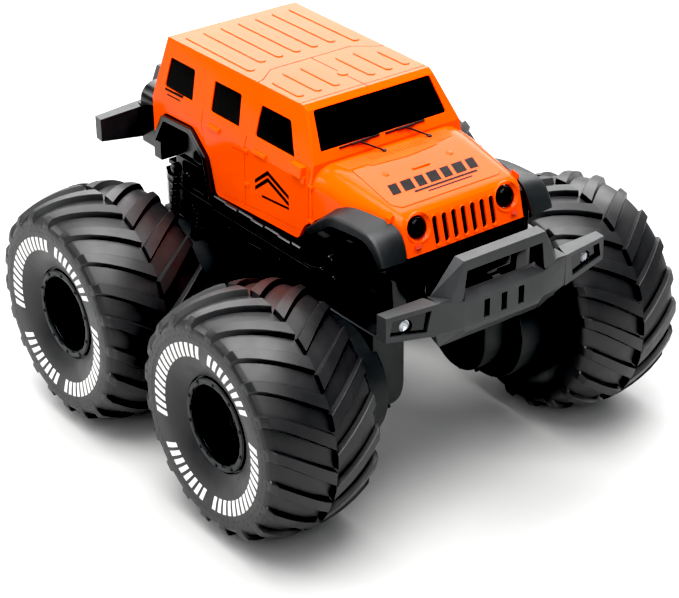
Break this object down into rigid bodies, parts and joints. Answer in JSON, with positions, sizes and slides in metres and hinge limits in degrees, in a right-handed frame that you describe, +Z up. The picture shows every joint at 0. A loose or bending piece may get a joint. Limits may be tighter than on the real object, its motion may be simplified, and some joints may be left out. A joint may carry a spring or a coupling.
{
  "type": "remote control car",
  "caption": "Amphibious remote control off-road car with a boxy body on a sealed hull, oversized chevron-tread balloon wheels on geared motor pods, and faceted bumpers front and rear.",
  "frame": {"origin": "on the ground, under the middle of the overall box", "axes": "+Z up, -Y towards the nose, -X towards the car's right-hand side"},
  "size_m": [0.2472, 0.2548, 0.1834],
  "materials": {
    "body_orange": "moulded glossy ABS",
    "gloss_black": "moulded glossy ABS",
    "satin_black": "moulded satin ABS",
    "rim_black": "moulded semi-gloss ABS",
    "bumper_grey": "moulded satin ABS",
    "clear_lens": "clear moulded lens",
    "tyre_rubber": "moulded soft rubber",
    "seal_rubber": "moulded rubber",
    "motor_steel": "plated steel",
    "gear_nylon": "moulded nylon",
    "switch_nylon": "moulded nylon",
    "board_green": "coated circuit board",
    "battery_wrap": "shrink wrap"
  },
  "bodies": {
    "chassis": {"body_shell": "body_orange", "window_insert": "gloss_black", "grille_insert": "gloss_black", "headlight_right": "gloss_black", "headlight_left": "gloss_black", "base_frame": "satin_black", "front_bumper": "bumper_grey", "bumper_lens_right": "clear_lens", "bumper_lens_left": "clear_lens", "rear_bumper": "bumper_grey", "tail_box": "gloss_black", "wiper_right": "satin_black", "wiper_left": "satin_black", "hull_lower": "gloss_black", "hull_seal": "seal_rubber", "hull_deck": "gloss_black", "battery_door": "satin_black", "battery_pack": "battery_wrap", "circuit_board": "board_green", "pod_housing_front_right": "satin_black", "pod_cover_front_right": "satin_black", "motor_front_right": "motor_steel", "pod_housing_front_left": "satin_black", "pod_cover_front_left": "satin_black", "motor_front_left": "motor_steel", "pod_housing_rear_right": "satin_black", "pod_cover_rear_right": "satin_black", "motor_rear_right": "motor_steel", "pod_housing_rear_left": "satin_black", "pod_cover_rear_left": "satin_black", "motor_rear_left": "motor_steel"},
    "wheel_front_right": {"drive_gear_front_right": "gear_nylon", "rim_front_right": "rim_black", "tyre_front_right": "tyre_rubber", "bead_ring_front_right": "rim_black", "wheel_nut_front_right": "motor_steel"},
    "motor_pinion_front_right": {"pinion_front_right": "gear_nylon"},
    "wheel_front_left": {"drive_gear_front_left": "gear_nylon", "rim_front_left": "rim_black", "tyre_front_left": "tyre_rubber", "bead_ring_front_left": "rim_black", "wheel_nut_front_left": "motor_steel"},
    "motor_pinion_front_left": {"pinion_front_left": "gear_nylon"},
    "wheel_rear_right": {"drive_gear_rear_right": "gear_nylon", "rim_rear_right": "rim_black", "tyre_rear_right": "tyre_rubber", "bead_ring_rear_right": "rim_black", "wheel_nut_rear_right": "motor_steel"},
    "motor_pinion_rear_right": {"pinion_rear_right": "gear_nylon"},
    "wheel_rear_left": {"drive_gear_rear_left": "gear_nylon", "rim_rear_left": "rim_black", "tyre_rear_left": "tyre_rubber", "bead_ring_rear_left": "rim_black", "wheel_nut_rear_left": "motor_steel"},
    "motor_pinion_rear_left": {"pinion_rear_left": "gear_nylon"},
    "switch_knob": {"power_switch": "switch_nylon"}
  },
  "joints": [
    {"name": "wheel_spin_front_right", "type": "hinge", "parent": "chassis", "child": "wheel_front_right", "pos_m": [0, -0.06565, 0.06], "axis": [1, 0, 0], "continuous": true},
    {"name": "pinion_spin_front_right", "type": "hinge", "parent": "chassis", "child": "motor_pinion_front_right", "pos_m": [0, -0.06565, 0.0762], "axis": [1, 0, 0], "continuous": true},
    {"name": "wheel_spin_front_left", "type": "hinge", "parent": "chassis", "child": "wheel_front_left", "pos_m": [0, -0.06565, 0.06], "axis": [1, 0, 0], "continuous": true},
    {"name": "pinion_spin_front_left", "type": "hinge", "parent": "chassis", "child": "motor_pinion_front_left", "pos_m": [0, -0.06565, 0.0762], "axis": [1, 0, 0], "continuous": true},
    {"name": "wheel_spin_rear_right", "type": "hinge", "parent": "chassis", "child": "wheel_rear_right", "pos_m": [0, 0.06735, 0.06], "axis": [1, 0, 0], "continuous": true},
    {"name": "pinion_spin_rear_right", "type": "hinge", "parent": "chassis", "child": "motor_pinion_rear_right", "pos_m": [0, 0.06735, 0.0762], "axis": [1, 0, 0], "continuous": true},
    {"name": "wheel_spin_rear_left", "type": "hinge", "parent": "chassis", "child": "wheel_rear_left", "pos_m": [0, 0.06735, 0.06], "axis": [1, 0, 0], "continuous": true},
    {"name": "pinion_spin_rear_left", "type": "hinge", "parent": "chassis", "child": "motor_pinion_rear_left", "pos_m": [0, 0.06735, 0.0762], "axis": [1, 0, 0], "continuous": true},
    {"name": "power_switch_slide", "type": "slide", "parent": "chassis", "child": "switch_knob", "axis": [0, 1, 0], "range_m": [0, 0.004]}
  ],
  "couplings": [
    {"joint": "pinion_spin_front_right", "follows": "wheel_spin_front_right", "ratio": -3},
    {"joint": "pinion_spin_front_left", "follows": "wheel_spin_front_left", "ratio": -3},
    {"joint": "pinion_spin_rear_right", "follows": "wheel_spin_rear_right", "ratio": -3},
    {"joint": "pinion_spin_rear_left", "follows": "wheel_spin_rear_left", "ratio": -3}
  ]
}
